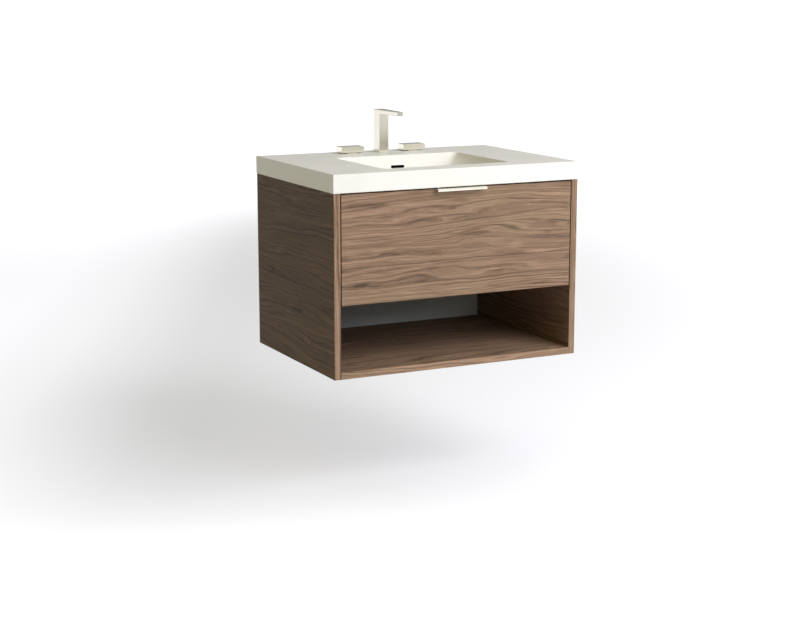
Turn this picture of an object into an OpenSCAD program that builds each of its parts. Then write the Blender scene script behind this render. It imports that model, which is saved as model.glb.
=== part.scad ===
// Floating vanity: a wall-hung cabinet with one drawer over an open shelf, under a
// countertop cast in one with its basin, with a three-hole faucet and a push-button drain.
// +X runs to the right along the wall, +Y goes into the wall and +Z is up. The origin is
// the centre of the four wall screws, on the face of the wall.

/* [Cabinet] */
// Outside width of the cabinet
cab_w = 758; // [740:1:860]
// Depth of the cabinet, from the wall to the front edges of its sides
cab_d = 542; // [535:1:600]
// Height of the cabinet, without the countertop
cab_h = 505; // [495:1:560]
// Thickness of the cabinet's panels
panel_t = 19; // [16:0.5:22]
// Clear height of the open shelf bay
bay_h = 185; // [120:1:195]
// Thickness of the panel that closes the back of the bay
back_t = 4; // [3:0.5:6]
// Lap of that panel into the rebates of the panels round it
back_lap = 8; // [5:0.5:12]
// Radius of the rubber bumpers behind the drawer front
bumper_r = 5; // [3:0.5:8]
// Distance of the bumpers from the side panels
bumper_in = 40; // [25:1:80]

/* [Rails and wall screws] */
// Height of the upper rail, which hangs the cabinet on the wall
hang_rail_h = 100; // [80:1:110]
// Height of the lower rail, which stands on the divider
low_rail_h = 64; // [40:1:80]
// Depth of the stretcher that ties the sides at the front
stretcher_d = 34; // [24:1:38]
// Clearance between the divider and the closed drawer front
front_clear = 4; // [3:0.5:6]
// Clearance between the stretcher and the edge pull's leg
stretcher_gap = 4; // [3:0.5:6]
// Distance between the wall screws along the wall
wall_screw_dx = 406.4; // [300:0.1:600]
// Drop from the cabinet's top to the upper wall screws
wall_screw_drop = 50; // [35:1:60]
// Diameter of the wall screw holes
wall_screw_d = 9; // [6:0.5:12]
// Diameter of the beech dowels in the panel joints
dowel_d = 8; // [6:0.5:10]
// Length of a dowel
dowel_l = 30; // [24:1:34]
// Depth of the dowel holes in the side panels
dowel_side = 12; // [10:0.5:13]
// Distance of the end dowels from the front and the back
dowel_end = 50; // [38:1:70]

/* [Countertop] */
// Overhang of the countertop past the cabinet's sides and front
top_over = 2; // [0:0.5:6]
// Height of the countertop's edge
edge_h = 50.8; // [44:0.2:60]
// Thickness of the deck
deck_t = 20; // [15:0.5:24]
// Thickness of the turned-down edges under the deck
apron_t = 22; // [18:0.5:26]
// Bevel along the countertop's edges
edge_bevel = 1.2; // [0.5:0.1:2]

/* [Basin] */
// Width of the basin at its rim
basin_w = 395; // [360:1:430]
// Length of the basin at its rim, front to back
basin_l = 313; // [290:1:314]
// Depth of the deck in front of the basin
basin_front = 75; // [72:1:84]
// Depth of the basin at the drain
basin_depth = 110; // [100:1:112]
// Thickness of the basin's wall
basin_wall = 12; // [10:0.5:14]
// Slope of the left and right walls from upright, in degrees
side_slope = 25; // [5:1:35]
// Slope of the front and back walls from upright, in degrees
end_slope = 8; // [3:1:14]
// Radius of the basin's corners at its rim
rim_r = 8; // [3:0.5:12]
// Radius between the walls and the floor
cove_r = 24; // [12:1:30]
// Fall of the floor to the drain
floor_fall = 5; // [2:0.5:7]
// Bevel round the basin's rim
rim_bevel = 1; // [0.5:0.1:2]
// Width of the overflow slot
slot_w = 44; // [30:1:60]
// Height of the overflow slot
slot_h = 8; // [5:0.5:8]
// Depth of the middle of the slot below the deck's top
slot_drop = 34; // [32:1:45]
// Clear depth of the overflow duct behind the basin
duct_d = 9; // [7:0.5:11]
// Thickness of the duct's walls
duct_wall = 6; // [5:0.5:8]
// Width of the flat round the drain's flange
sump_rim = 3; // [2:0.5:6]
// Width of the boss under the basin, outside the drain body
boss_rim = 17; // [14:1:22]

/* [Drain] */
// Radius of the drain's flange
flange_r = 31; // [28:0.5:33]
// Thickness of the drain's flange
flange_t = 2.5; // [2:0.1:3]
// How far the flange stands proud of the basin's floor
flange_proud = 0.5; // [0.3:0.1:1]
// Radius of the threaded drain body
drain_r = 19; // [18:0.5:20]
// Clearance round the drain body in the basin's hole
drain_clear = 3; // [2:0.5:5]
// Thickness of the seal under the flange
seal_t = 1; // [0.5:0.25:2]
// Thickness of the gasket under the basin
gasket_t = 6; // [4:0.5:8]
// Thickness of the drain's nut
drain_nut_t = 9; // [7:0.5:12]
// Outside radius of the tailpiece
tail_r = 15.875; // [15.5:0.125:16.5]
// Wall of the tailpiece
tail_wall = 1.2; // [0.8:0.1:2]
// Length of the drain body below its flange
drain_l = 76; // [70:1:80]
// Length of the tailpiece
tail_l = 80; // [70:1:100]
// How far the tailpiece's neck goes up into the drain body
tail_entry = 14; // [10:1:20]
// Step from the tailpiece to its neck
neck_step = 0.5; // [0.3:0.1:0.6]
// Radius of the stopper's cap
stopper_r = 26; // [24:0.5:27]
// Height of the stopper's cap
stopper_h = 5; // [4:0.5:7]
// Height of the straight rim of that cap
stopper_rim = 2; // [1:0.25:3]
// Radius of the stopper's stem
stopper_stem_r = 4; // [3:0.5:5]
// Gap between the flange and the closed stopper
stopper_gap = 0.3; // [0.3:0.1:1]
// Radius of the hub that guides the stem
guide_r = 7; // [6.5:0.5:9]
// Height of that hub
guide_t = 6; // [4:0.5:7]
// Drop from the flange's underside to the hub's foot
guide_drop = 10; // [9:0.5:12]

/* [Drawer] */
// Thickness of the drawer front
front_t = 19; // [16:0.5:22]
// Gap between the drawer front and each side panel
front_gap = 3; // [2:0.5:4]
// Gap between the drawer front and the countertop
front_top_gap = 4; // [3.5:0.5:6]
// How far the drawer front hangs below the divider's underside
front_lap = 2; // [0:0.5:6]
// Gap between the drawer box and each side panel
box_gap = 6; // [4:0.5:8]
// Thickness of the drawer box's boards
box_t = 15; // [12:0.5:16]
// Distance from the wall to the back of the drawer box
box_rear_gap = 66; // [56:1:90]
// Height of the drawer box
box_h = 180; // [140:1:186]
// Thickness of the drawer's bottom
floor_t = 8; // [6:0.5:10]
// Depth of the grooves that hold the bottom
groove_d = 5; // [3:0.5:7]
// Clear width of the notch that lets the drain through the drawer
notch_w = 190; // [150:1:220]
// Distance from the drain's axis to the front of the notch
notch_reach = 60; // [50:1:80]
// Thickness of the notch's walls
notch_t = 12; // [10:0.5:15]
// Distance of the front's screws from the edges of the drawer box
front_screw_edge = 35; // [25:1:50]
// How far those screws bite into the drawer front
front_screw_bite = 12; // [10:0.5:14]
// Radius of those screws
front_screw_r = 2; // [1.5:0.25:2.5]

/* [Drawer slides] */
// Distance from the wall to the rear ends of the slides
slide_rear_gap = 50; // [30:1:56]
// Thickness of the slides' steel
slide_t = 1.6; // [1.2:0.1:2]
// Height of the flange that is screwed to the side panel
slide_flange_h = 40; // [34:1:50]
// Rise from the divider to the underside of the drawer's bottom
slide_rise = 17; // [16:0.5:20]
// Height of the gap under the drawer box's sides
box_lift = 4; // [3:0.5:6]
// Width of the telescopic part of the slide
slide_w = 20; // [18:0.5:24]
// Running clearance between the slides' members
run_gap = 0.4; // [0.3:0.05:0.6]
// Distance from the drawer box's front board to the slides
slide_setback = 1; // [0.5:0.5:4]
// Gap between the drawer box's sides and the telescopic part
slide_side_gap = 1; // [0.5:0.5:3]
// Height of the fixed member's guiding lip
slide_lip_h = 8; // [6:0.5:9]
// How much shorter the middle member is than the fixed one
mid_short = 13; // [8:1:30]
// Distance of the end screws from the ends of a slide
slide_screw_end = 35; // [25:1:60]
// Drop from the flange's top to its screws
slide_screw_drop = 12; // [8:0.5:14]
// Radius of those screws
slide_screw_r = 2; // [1.5:0.25:2.5]
// How far those screws bite into the side panel
slide_screw_bite = 12; // [10:0.5:13]
// Length of the catches under the drawer's front corners
catch_l = 46; // [36:1:60]
// Width of those catches
catch_w = 16; // [12:0.5:20]
// Height of those catches, without their triggers
catch_h = 9; // [7:0.5:10]

/* [Edge pull] */
// Length of the pull
pull_l = 152.4; // [96:0.1:200]
// Thickness of the pull's metal
pull_t = 2; // [1.5:0.1:2.5]
// How far the pull stands out from the drawer front
pull_out = 18; // [12:0.5:24]
// Height of the pull's turned-down lip
pull_lip = 7.2; // [6.5:0.1:12]
// Height of the pull's leg behind the drawer front
pull_leg = 26; // [18:1:30]
// Distance of the end screws from the pull's ends
pull_screw_end = 16; // [10:1:24]
// How far the pull's screws bite into the drawer front
pull_screw_bite = 11; // [9:0.5:13]
// Radius of those screws
pull_screw_r = 1.75; // [1.5:0.25:2.25]

/* [Faucet] */
// Distance between the two handles
valve_pitch = 203.2; // [180:0.1:254]
// Distance from the wall to the line of the faucet
faucet_back = 49.5; // [49:0.5:56]
// Diameter of the faucet holes
faucet_hole_d = 28.6; // [27.5:0.1:29.5]
// Width of the spout's column
spout_w = 30.4; // [27:0.1:34]
// Depth of the spout's column
spout_d = 41; // [32:0.5:42]
// Height of the spout above the deck
spout_h = 126; // [110:1:160]
// Thickness of the spout's arm at the column
arm_t = 12.6; // [11.5:0.1:16]
// Thickness of the arm at its tip
arm_tip_t = 11.8; // [11.2:0.1:16]
// Width of the arm at its tip
arm_tip_w = 19.6; // [17:0.1:27]
// Reach of the arm past the column
arm_reach = 106.5; // [100:0.5:130]
// Length of the outlet cap at the arm's end
cap_l = 12; // [10:0.5:16]
// Fine gap between that cap and the arm
cap_reveal = 0.35; // [0.3:0.05:0.6]
// Width of the metal beside the outlet's insert
outlet_rim = 2.5; // [2:0.25:3.5]
// Radius of the water's way through the spout
water_r = 4; // [3:0.25:5]
// Thickness of the spout's foot plate
foot_t = 6; // [3:0.5:8]
// How far the foot plate stands out round the column
foot_lip = 0.6; // [0.4:0.1:4]
// Length of a lever
lever_l = 72; // [60:1:90]
// Width of a lever
lever_w = 40; // [34:0.5:42]
// Height of a lever
lever_h = 17.5; // [14:0.5:22]
// Side of the square plate under a lever
plate_w = 33; // [31.5:0.5:38]
// Thickness of that plate
plate_t = 2.5; // [2:0.5:6]
// Running clearance between a lever and its plate
lever_gap = 0.6; // [0.5:0.1:2]
// Bevel along the levers' and the spout's edges
fine_bevel = 0.8; // [0.4:0.1:1.2]
// Radius of the valve's spindle
spindle_r = 5; // [4:0.25:6]
// Metal left over the spindle's end in a lever
lever_roof = 6; // [4:0.5:7]
// Radius of a lever's set screw
lever_screw_r = 2; // [1.5:0.25:2.5]
// Radius of the valves' threaded shanks through the deck
shank_r = 12.5; // [11.5:0.25:13]
// Radius of the spout's threaded shank
spout_shank_r = 10; // [9:0.5:11]
// How far that shank goes up into the spout
shank_entry = 14; // [10:1:18]
// Radius of the valves' bodies
valve_body_r = 15; // [14:0.5:16]
// Thickness of the nuts under the deck
nut_t = 8; // [6:0.5:10]
// Metal outside the thread of those nuts
nut_wall = 4.5; // [3.5:0.5:6]
// Thickness of the washers under the deck
washer_t = 2; // [1:0.5:3]
// Radius of those washers
washer_r = 20; // [18:0.5:22]
// Radius of the supply inlets
inlet_r = 10.4; // [9.5:0.1:11]
// Length of the supply inlets
inlet_l = 22; // [16:1:26]
// Wall of the supply inlets
inlet_wall = 4.4; // [3.5:0.1:5]
// Drop from the deck's underside to the axis of the tubes
tube_drop = 46; // [44:1:56]
// Radius of the tubes from the valves to the spout
tube_r = 4.76; // [4:0.01:6]
// Wall of those tubes
tube_wall = 0.9; // [0.7:0.1:1.2]
// Length of the compression nuts on them
comp_l = 10; // [8:0.5:12]
// Length of the tee under the spout
tee_l = 36; // [32:1:44]
// Depth of the tee
tee_w = 26; // [24:1:32]
// Height of the tee
tee_h = 22; // [20:1:26]
// Radius of the ports on the tee and the valves
port_r = 8; // [7.5:0.5:9]
// Length of those ports
port_l = 8; // [6:0.5:12]

/* [Hidden] */

$fn = 48;

// A hull's own round children
hull_fn = 32;
// Clearance of a screw, a dowel or a shaft in its hole, on the radius
hole_clear = 0.05;
// Overshoot of a cut past the face it opens
cut = 1;

// Heights of the cabinet: the origin is midway between the upper and lower wall screws
low_screw_up = panel_t + bay_h + panel_t + low_rail_h / 2;
wall_screw_dz = cab_h - wall_screw_drop - low_screw_up;
cab_top = wall_screw_dz / 2 + wall_screw_drop;
cab_bot = cab_top - cab_h;
shelf_z = cab_bot + panel_t;
div_bot = shelf_z + bay_h;
div_top = div_bot + panel_t;
in_w = cab_w - 2 * panel_t;
front_y = -cab_d;
front_back_y = front_y + front_t;
clear_y = front_back_y + front_clear;
stretcher_y = front_back_y + pull_t + stretcher_gap;
screw_head = 2;

// The countertop
top_w = cab_w + 2 * top_over;
top_d = cab_d + top_over;
deck_z = cab_top + edge_h;
under_z = deck_z - deck_t;

// The basin: rim lines, the foot of its coves and the drain
rim_front_y = basin_front - top_d;
rim_back_y = rim_front_y + basin_l;
drain_y = (rim_front_y + rim_back_y) / 2;
rim_x = basin_w / 2 - rim_r;
rim_y = basin_l / 2 - rim_r;
sump_z = deck_z - basin_depth;
cove_z = sump_z + floor_fall + cove_r;
cove_x = basin_w / 2 - (deck_z - cove_z) * tan(side_slope) - cove_r / cos(side_slope);
cove_y = basin_l / 2 - (deck_z - cove_z) * tan(end_slope) - cove_r / cos(end_slope);
sump_r = flange_r + sump_rim;
flange_clear = 0.5;
duct_out = duct_wall + duct_d + duct_wall;
boss_z = sump_z - duct_out;
boss_r = drain_r + boss_rim;
flange_z = sump_z + flange_proud - flange_t;

// The drain under the basin
drain_bot = flange_z - drain_l;
drain_washer_r = drain_r + boss_rim / 2;
tail_top = drain_bot + tail_entry;
tail_bot = tail_top - tail_l;
drain_bore_r = tail_r - neck_step + hole_clear;
guide_z = flange_z - guide_drop;

// The drawer
front_w = in_w - 2 * front_gap;
front_top = cab_top - front_top_gap;
front_bot = div_bot - front_lap;
front_h = front_top - front_bot;
box_w = in_w - 2 * box_gap;
box_bot = div_top + box_lift;
box_top = box_bot + box_h;
box_back_y = -box_rear_gap;
floor_z = div_top + slide_rise;
floor_top_z = floor_z + floor_t;
box_in_x = box_w / 2 - box_t;
notch_y = drain_y - notch_reach;
front_screw_x = box_in_x - front_screw_edge;
front_screw_up = [front_screw_edge, box_h - front_screw_edge];

// The slides, measured inwards from the side panel's inner face
slide_front_y = front_back_y + box_t + slide_setback;
slide_back_y = -slide_rear_gap;
slide_len = slide_back_y - slide_front_y;
tele_out = box_gap + box_t + slide_side_gap;
tele_in = tele_out + slide_w;
mid_out = tele_out + slide_t + run_gap;
mid_in = tele_in - slide_t - run_gap;
web_z = div_top + slide_t;
mid_bot = web_z + run_gap;
mid_top = floor_z - slide_t - run_gap;
lip_top = div_top + slide_lip_h;
slide_screw_z = div_top + slide_flange_h - slide_screw_drop;
slide_screw_at = [slide_screw_end, slide_len / 2, slide_len - slide_screw_end];

// The edge pull
pull_z = front_top + pull_t;
pull_screw_z = front_top - (pull_leg - pull_t) / 2;
pull_screw_at = [-1, 0, 1] * (pull_l / 2 - pull_screw_end);

// The faucet
faucet_y = -faucet_back;
valve_x = valve_pitch / 2;
spout_front_y = faucet_y - spout_d / 2;
tip_y = spout_front_y - arm_reach;
spout_top = deck_z + spout_h;
water_z = spout_top - arm_t / 2;
outlet_z = spout_top - arm_h(tip_y + cap_l / 2);
lever_z = deck_z + plate_t + lever_gap;
tube_z = under_z - tube_drop;
valve_base = 6;
shank_bore_r = water_r + 1;
valve_bot = tube_z - port_r - valve_base;
// The threads reach past the washer and the nut, and the valves' bodies widen below them
thread_past = 10;
shank_bot = under_z - washer_t - nut_t - thread_past;
shank_short = 0.5;
shank_top = deck_z + plate_t - shank_short;
spindle_seat = 2;
spindle_bot = shank_bot + spindle_seat;
spindle_top = lever_z + lever_h - lever_roof;
// Where each tube starts in the tee and ends in its valve
tube_seat = 4;
tube_x0 = tee_l / 2 - tube_seat;
tube_x1 = valve_x - valve_body_r + tube_seat;

// Rows of dowels: the depth of each dowel from the front edge of a shelf
shelf_dowel_y = [-cab_d + dowel_end, -cab_d / 2, -dowel_end];
rail_dowel_y = -panel_t / 2;
rail_dowel_z = [for (k = [1, 3]) cab_top - hang_rail_h * k / 4];

function both(v) = [-v, v];

// A block with its base on z = 0, centred on x and y, with every edge bevelled by c
module eased_block(x, y, z, c) {
    intersection() {
        linear_extrude(z) eased_rect(x, y, c);
        translate([0, y / 2, z / 2]) rotate([90, 0, 0]) linear_extrude(y) eased_rect(x, z, c);
        translate([-x / 2, 0, z / 2]) rotate([90, 0, 90]) linear_extrude(x) eased_rect(y, z, c);
    }
}

// A rectangle w wide and h high, centred, with its corners cut by c
module eased_rect(w, h, c) {
    a = w / 2;
    b = h / 2;
    polygon([
        [-a + c, -b], [a - c, -b], [a, -b + c], [a, b - c],
        [a - c, b], [-a + c, b], [-a, b - c], [-a, -b + c]
    ]);
}

// A box from one corner to the other
module span(low, high) {
    translate(low) cube(high - low);
}

// A profile drawn in Y and Z, extruded along X and centred on x = 0
module side_profile(width, points) {
    translate([-width / 2, 0, 0]) rotate([90, 0, 90]) linear_extrude(width) polygon(points);
}

// A bar along Y that starts at y0
module y_bar(x, y0, z, r, l) {
    translate([x, y0, z]) rotate([-90, 0, 0]) cylinder(r = r, h = l);
}

// A bar along X, centred on x
module x_bar(x, y, z, r, l) {
    translate([x, y, z]) rotate([0, 90, 0]) cylinder(r = r, h = l, center = true);
}

// A tube standing on z
module pipe(z, h, outer, inner) {
    translate([0, 0, z]) difference() {
        cylinder(r = outer, h = h);
        translate([0, 0, -cut]) cylinder(r = inner, h = h + 2 * cut);
    }
}

// A hexagonal nut standing on z, with a round skirt at its foot
module hex_nut(z, h, flats, bore) {
    translate([0, 0, z]) difference() {
        intersection() {
            cylinder(r = flats / cos(30), h = h, $fn = 6);
            union() {
                cylinder(r = flats + h / 2, h = h / 2);
                translate([0, 0, h / 2]) cylinder(r1 = flats + h / 2, r2 = flats, h = h / 2);
            }
        }
        translate([0, 0, -cut]) cylinder(r = bore, h = h + 2 * cut);
    }
}

// A pan-head screw along +Y, with the underside of its head at y0
module y_screw(x, y0, z, r, l) {
    y_bar(x, y0, z, r, l);
    difference() {
        y_bar(x, y0 - r, z, screw_head * r, r);
        y_bar(x, y0 - r - cut, z, r / 2, r / 2 + cut);
    }
}

// ---- cabinet ----

// The dowel holes of one joint, drawn about the joint's plane at x; side is -1 or 1
module dowel_row(side, ys, zs, r, l_out, l_in) {
    for (y = ys)
        for (z = zs)
            translate([side * (in_w / 2 + (l_out - l_in) / 2), y, z])
                rotate([0, 90, 0]) cylinder(r = r, h = l_out + l_in, center = true);
}

// Every dowel of one side: shelf, divider, both rails and the stretcher
module dowel_set(side, r, l_out, l_in) {
    dowel_row(side, shelf_dowel_y, [shelf_z, div_top] - [1, 1] * panel_t / 2, r, l_out, l_in);
    dowel_row(side, [rail_dowel_y], rail_dowel_z, r, l_out, l_in);
    dowel_row(side, [rail_dowel_y], [div_top + low_rail_h / 2], r, l_out, l_in);
    dowel_row(side, [stretcher_y + stretcher_d / 2], [cab_top - panel_t / 2], r, l_out, l_in);
}

module dowel_holes(side) {
    dowel_set(side, dowel_d / 2 + hole_clear, dowel_side, dowel_l - dowel_side + cut);
}

module dowels() {
    color("burlywood")
        for (side = [-1, 1])
            dowel_set(side, dowel_d / 2, dowel_side - cut, dowel_l - dowel_side);
}

// The rebate for the back panel, cut out of every panel round the bay
module bay_rebate() {
    span([-in_w / 2 - back_lap, -back_t, shelf_z - back_lap],
        [in_w / 2 + back_lap, cut, div_bot + back_lap]);
}

module side_panel(side) {
    x0 = side > 0 ? in_w / 2 : -cab_w / 2;
    difference() {
        span([x0, front_y, cab_bot], [x0 + panel_t, 0, cab_top]);
        bay_rebate();
        dowel_holes(side);
        slide_screw_set(side, slide_screw_r + hole_clear, cut);
    }
}

module left_side_panel() {
    color("rosybrown") side_panel(-1);
}

module right_side_panel() {
    color("rosybrown") side_panel(1);
}

// A panel between the sides, from y0 to the wall, with its dowel holes
module cross_panel(y0, y1, z0, z1) {
    difference() {
        span([-in_w / 2, y0, z0], [in_w / 2, y1, z1]);
        bay_rebate();
        dowel_holes(-1);
        dowel_holes(1);
    }
}

module bottom_panel() {
    color("rosybrown") cross_panel(front_y, 0, cab_bot, shelf_z);
}

module divider_panel() {
    color("rosybrown") cross_panel(clear_y, 0, div_bot, div_top);
}

module bay_back_panel() {
    color("dimgray")
        span([-in_w / 2 - back_lap, -back_t, shelf_z - back_lap] + [1, 0, 1] * hole_clear,
            [in_w / 2 + back_lap, 0, div_bot + back_lap] - [1, 0, 1] * hole_clear);
}

// The wall screw holes of one rail
module wall_holes(z) {
    for (x = both(wall_screw_dx / 2))
        y_bar(x, -panel_t - cut, z, wall_screw_d / 2, panel_t + 2 * cut);
}

module hanging_rail() {
    color("tan") difference() {
        cross_panel(-panel_t, 0, cab_top - hang_rail_h, cab_top);
        wall_holes(wall_screw_dz / 2);
    }
}

module lower_rail() {
    color("tan") difference() {
        cross_panel(-panel_t, 0, div_top, div_top + low_rail_h);
        wall_holes(-wall_screw_dz / 2);
    }
}

module front_stretcher() {
    color("tan") cross_panel(stretcher_y, stretcher_y + stretcher_d, cab_top - panel_t, cab_top);
}

// Rubber buttons on the divider's edge, which the drawer front closes against
module front_bumpers() {
    color("gainsboro")
        for (x = both(in_w / 2 - bumper_in))
            y_bar(x, front_back_y + run_gap, div_bot + panel_t / 2, bumper_r, front_clear - run_gap);
}

// ---- countertop and basin ----

// The basin's hollow, grown outwards by grow: rounded corners, sloping walls, round coves
// and a floor that falls to the drain
module basin_form(grow, rim_z) {
    gx = grow / cos(side_slope);
    gy = grow / cos(end_slope);
    hull() {
        for (sx = [-1, 1])
            for (sy = [-1, 1]) {
                translate([sx * (rim_x + gx), drain_y + sy * (rim_y + gy), rim_z])
                    cylinder(r = rim_r, h = cut, $fn = hull_fn);
                translate([sx * cove_x, drain_y + sy * cove_y, cove_z])
                    sphere(r = cove_r + grow, $fn = hull_fn);
            }
        translate([0, drain_y, sump_z - grow])
            cylinder(r = sump_r + grow / 2, h = cut, $fn = hull_fn);
    }
}

// The bevel round the basin's rim
module basin_rim_bevel() {
    hull()
        for (sx = [-1, 1])
            for (sy = [-1, 1])
                translate([sx * rim_x, drain_y + sy * rim_y, 0]) {
                    translate([0, 0, deck_z])
                        cylinder(r = rim_r + rim_bevel, h = cut, $fn = hull_fn);
                    translate([0, 0, deck_z - rim_bevel - cut])
                        cylinder(r = rim_r - rim_bevel / 2, h = cut, $fn = hull_fn);
                }
}

// The line of the back wall's inner face, at height z
function back_wall_y(z) = rim_back_y - (deck_z - z) * tan(end_slope);

// The overflow duct's outline in Y and Z, from in_off to out_off outside the basin's face
function duct_outline(in_off, out_off, top_z) = [
    [back_wall_y(top_z) + in_off, top_z],
    [back_wall_y(top_z) + out_off, top_z],
    [back_wall_y(sump_z - out_off) + out_off, sump_z - out_off],
    [drain_y, sump_z - out_off],
    [drain_y, sump_z - in_off],
    [back_wall_y(sump_z - in_off) + in_off, sump_z - in_off]
];

module overflow_slot() {
    slot_z = deck_z - slot_drop;
    slot_y = back_wall_y(slot_z) - duct_wall;
    slot_l = 2 * duct_wall + duct_d / 2;
    span([-(slot_w - slot_h) / 2, slot_y, slot_z - slot_h / 2],
        [(slot_w - slot_h) / 2, slot_y + slot_l, slot_z + slot_h / 2]);
    for (x = both((slot_w - slot_h) / 2))
        y_bar(x, slot_y, slot_z, slot_h / 2, slot_l);
}

// The slab with its turned-down edges and hollow underside
module countertop_slab() {
    difference() {
        translate([0, -top_d / 2, cab_top]) eased_block(top_w, top_d, edge_h, edge_bevel);
        span([-top_w / 2 + apron_t, -top_d + apron_t, cab_top - cut],
            [top_w / 2 - apron_t, -apron_t, under_z]);
    }
}

module countertop_basin() {
    color("white") difference() {
        union() {
            countertop_slab();
            basin_form(basin_wall, under_z);
            side_profile(slot_w + 2 * duct_wall, duct_outline(0, duct_out, under_z + cut));
            translate([0, drain_y, boss_z]) cylinder(r = boss_r, h = sump_z - boss_z);
        }
        basin_form(0, deck_z);
        basin_rim_bevel();
        side_profile(slot_w, duct_outline(duct_wall, duct_wall + duct_d,
            deck_z - slot_drop + slot_h));
        overflow_slot();
        translate([0, drain_y, boss_z - cut])
            cylinder(r = drain_r + drain_clear, h = basin_depth);
        translate([0, drain_y, flange_z - seal_t])
            cylinder(r = flange_r + flange_clear, h = basin_depth / 2);
        for (x = [-valve_x, 0, valve_x])
            translate([x, faucet_y, under_z - cut])
                cylinder(d = faucet_hole_d, h = deck_t + 2 * cut);
    }
}

// ---- drawer slides ----

// A length along the slide's section: u is measured in from the side panel's inner face
function slide_x(side, u) = side * (in_w / 2 - u);

// A steel strip of the slide, between two depths u, two heights and two places along Y
module slide_strip(side, u0, u1, z0, z1, y0, y1) {
    xa = slide_x(side, u0);
    xb = slide_x(side, u1);
    span([min(xa, xb), y0, z0], [max(xa, xb), y1, z1]);
}

// The screws of one slide, of radius r, with their tips extra longer than the real ones
module slide_screw_set(side, r, extra) {
    for (at = slide_screw_at)
        translate([slide_x(side, slide_t), slide_front_y + at, slide_screw_z])
            rotate([0, side * 90, 0]) cylinder(r = r, h = slide_t + slide_screw_bite + extra);
}

module slide_screws() {
    head_r = screw_head * slide_screw_r;
    color("silver")
        for (side = [-1, 1]) {
            slide_screw_set(side, slide_screw_r, 0);
            for (at = slide_screw_at)
                translate([slide_x(side, slide_t), slide_front_y + at, slide_screw_z])
                    rotate([0, -side * 90, 0])
                        cylinder(r1 = head_r, r2 = 0.75 * head_r, h = slide_screw_r);
        }
}

// The fixed member: a flange on the side panel, a web under the drawer and a guiding lip
module slide_cabinet(side) {
    y0 = slide_front_y;
    y1 = slide_back_y;
    difference() {
        union() {
            slide_strip(side, 0, slide_t, div_top, div_top + slide_flange_h, y0, y1);
            slide_strip(side, 0, tele_in, div_top, web_z, y0, y1);
            slide_strip(side, tele_in - slide_t, tele_in, div_top, lip_top, y0, y1);
        }
        slide_screw_set(side, slide_screw_r + hole_clear, 0);
        translate([slide_x(side, tele_out / 2), 0, 0]) slide_slots();
    }
}

// Fixing slots pressed through the web
module slide_slots() {
    fix_w = 6;
    fix_l = 24;
    for (at = [0.2, 0.5, 0.8] * slide_len - [1, 1, 1] * fix_l / 2)
        translate([-fix_w / 2, slide_front_y + at, div_top - cut])
            cube([fix_w, fix_l, slide_t + 2 * cut]);
}

module slide_cabinet_left() {
    color("silver") slide_cabinet(-1);
}

module slide_cabinet_right() {
    color("silver") slide_cabinet(1);
}

// The middle member: an inverted steel channel that runs on blocks set inside it
module slide_middle(side) {
    y1 = slide_back_y - mid_short;
    blocks = 4;
    block_l = 28;
    block_pitch = (slide_len - mid_short - block_l) / (blocks - 1);
    difference() {
        slide_strip(side, mid_out, mid_in, mid_bot, mid_top, slide_front_y, y1);
        slide_strip(side, mid_out + slide_t, mid_in - slide_t, mid_bot - cut, mid_top - slide_t,
            slide_front_y - cut, y1 + cut);
    }
    for (i = [0:blocks - 1])
        slide_strip(side, mid_out + slide_t, mid_in - slide_t, mid_bot, mid_top - slide_t,
            slide_front_y + i * block_pitch, slide_front_y + i * block_pitch + block_l);
}

module slide_middle_left() {
    color("lightgray") slide_middle(-1);
}

module slide_middle_right() {
    color("lightgray") slide_middle(1);
}

// The drawer's member: an inverted channel that laps over the middle one
module slide_drawer(side) {
    y1 = box_back_y;
    slide_strip(side, tele_out, tele_in, floor_z - slide_t, floor_z, slide_front_y, y1);
    slide_strip(side, tele_out, tele_out + slide_t, web_z + slide_t, floor_z, slide_front_y, y1);
    slide_strip(side, tele_in - slide_t, tele_in, lip_top + run_gap, floor_z, slide_front_y, y1);
}

module slide_drawer_left() {
    color("silver") slide_drawer(-1);
}

module slide_drawer_right() {
    color("silver") slide_drawer(1);
}

// Catches under the drawer's front corners, which clip the box onto its slides
module slide_catches() {
    trigger = 4;
    u0 = tele_in + 2 * run_gap;
    u1 = u0 + catch_w;
    color("darkorange")
        for (side = [-1, 1]) {
            slide_strip(side, u0, u1, floor_z - catch_h, floor_z,
                slide_front_y, slide_front_y + catch_l);
            slide_strip(side, u1 - trigger, u1, floor_z - catch_h - trigger, floor_z - catch_h,
                slide_front_y + trigger, slide_front_y + catch_l * 0.7);
        }
}

// ---- drawer ----

// The pilot holes of the pull's screws and of the screws that hold the front to its box
module front_pilots() {
    past_tip = 1;
    pull_pilot = pull_screw_bite + past_tip;
    front_pilot = front_screw_bite + past_tip;
    for (x = pull_screw_at)
        y_bar(x, front_back_y - pull_pilot, pull_screw_z, pull_screw_r + hole_clear,
            pull_pilot + cut);
    for (x = both(front_screw_x))
        for (up = front_screw_up)
            y_bar(x, front_back_y - front_pilot, box_bot + up, front_screw_r + hole_clear,
                front_pilot + cut);
}

module drawer_front() {
    veneer_edge = 0.6;
    color("rosybrown") difference() {
        translate([0, front_y + front_t / 2, front_bot])
            eased_block(front_w, front_t, front_h, veneer_edge);
        front_pilots();
    }
}

// The groove round the inside of the box that takes the bottom
module bottom_groove() {
    span([-box_in_x - groove_d, front_back_y + box_t - groove_d, floor_z],
        [box_in_x + groove_d, box_back_y + cut, floor_top_z]);
}

module drawer_box_front() {
    color("tan") difference() {
        span([-box_in_x, front_back_y, box_bot], [box_in_x, front_back_y + box_t, box_top]);
        bottom_groove();
        for (x = both(front_screw_x))
            for (up = front_screw_up)
                y_bar(x, front_back_y - cut, box_bot + up, front_screw_r + hole_clear,
                    box_t + 2 * cut);
    }
}

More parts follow.
